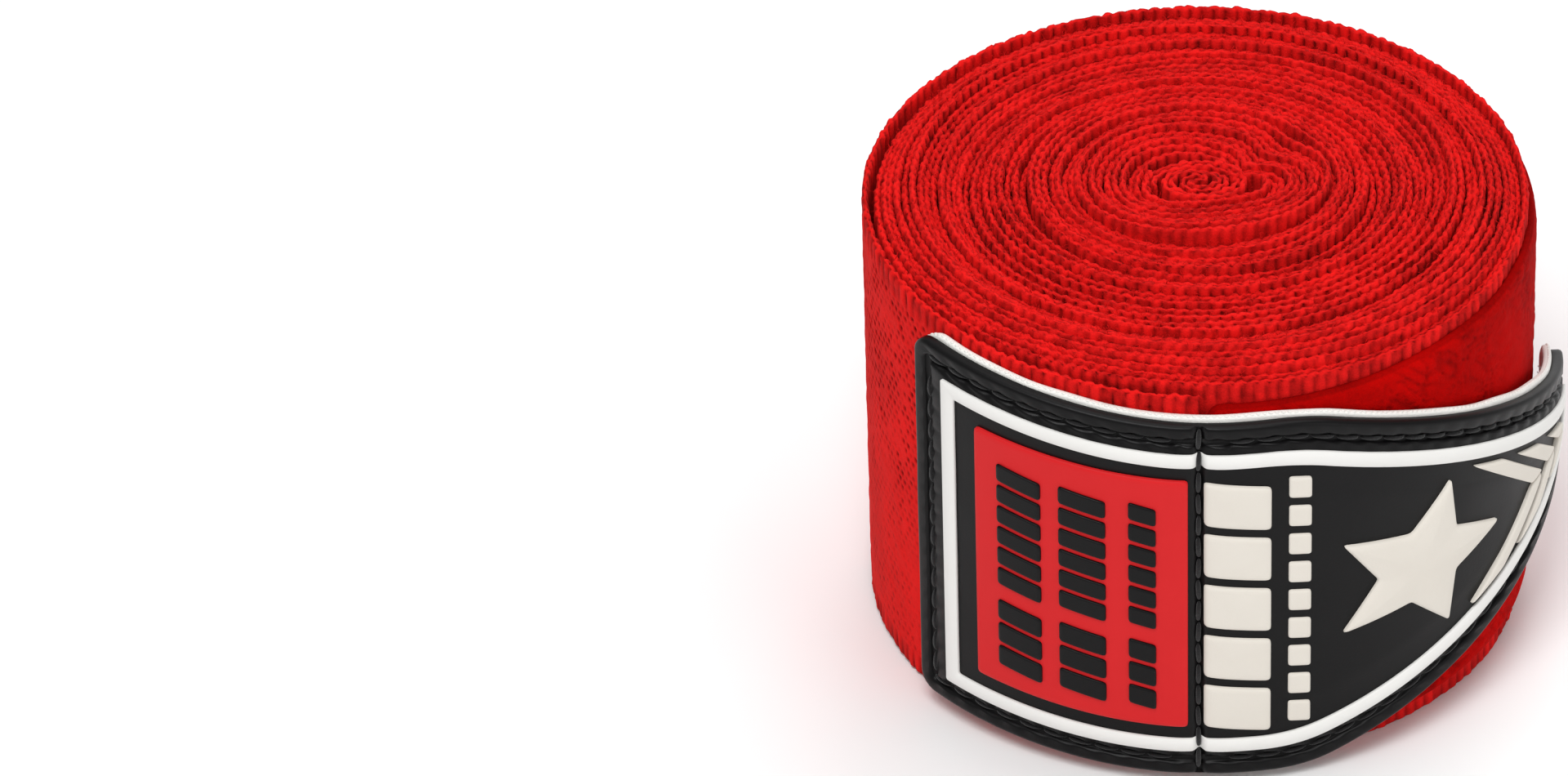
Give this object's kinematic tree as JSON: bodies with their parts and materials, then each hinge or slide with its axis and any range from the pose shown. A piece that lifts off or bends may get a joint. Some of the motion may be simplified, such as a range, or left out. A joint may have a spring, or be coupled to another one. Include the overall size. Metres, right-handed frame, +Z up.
{
  "type": "hand wrap",
  "caption": "Elastic boxing hand wrap wound into a flat-lying roll, closed by a pointed rubber badge with hook tape on a loop pile patch.",
  "frame": {"origin": "on the winding axis of the roll, in the plane of the face that it lies on", "axes": "+Z up along the winding axis and the strip's width, -Y towards the fold line of the badge, +X towards the badge's pointed end"},
  "size_m": [0.0706, 0.065, 0.05],
  "materials": {
    "elastic_red": "woven elastic cotton and polyester strip with ribbed edges",
    "velour_red": "brushed loop pile",
    "thread_red": "twisted sewing thread",
    "thread_black": "twisted sewing thread",
    "hook_white": "hook tape with a fine serrated edge",
    "rubber_black": "satin moulded soft rubber",
    "rubber_red": "satin moulded soft rubber",
    "rubber_white": "satin moulded soft rubber",
    "rubber_cream": "satin moulded soft rubber, slightly grainy"
  },
  "bodies": {
    "roll": {"wound_strip": "elastic_red", "thumb_loop": "elastic_red", "thumb_loop_stitching": "thread_red", "loop_patch": "velour_red", "loop_patch_stitching": "thread_red"},
    "loose_end": {"strip_end": "elastic_red", "hook_tape_sewn": "hook_white", "badge_sewn_half": "rubber_black", "badge_stripe_sewn": "rubber_white", "badge_panel": "rubber_red", "panel_marks": "rubber_black", "edge_stitching_sewn": "thread_black", "cross_stitching": "thread_black"},
    "closing_tab": {"hook_tape_tab": "hook_white", "badge_tab_half": "rubber_black", "badge_stripe_tab": "rubber_white", "title_blocks": "rubber_cream", "tagline_dashes": "rubber_cream", "badge_star": "rubber_cream", "badge_chevrons": "rubber_cream", "edge_stitching_tab": "thread_black"}
  },
  "joints": [
    {"name": "strip_unwind", "type": "hinge", "parent": "roll", "child": "loose_end", "pos_m": [-0.03315, 0, 0], "axis": [0, 0, -1], "range_deg": [0, 55]},
    {"name": "tab_peel", "type": "hinge", "parent": "loose_end", "child": "closing_tab", "pos_m": [0, -0.0328, 0], "axis": [0, 0, -1], "range_deg": [0, 65]}
  ]
}
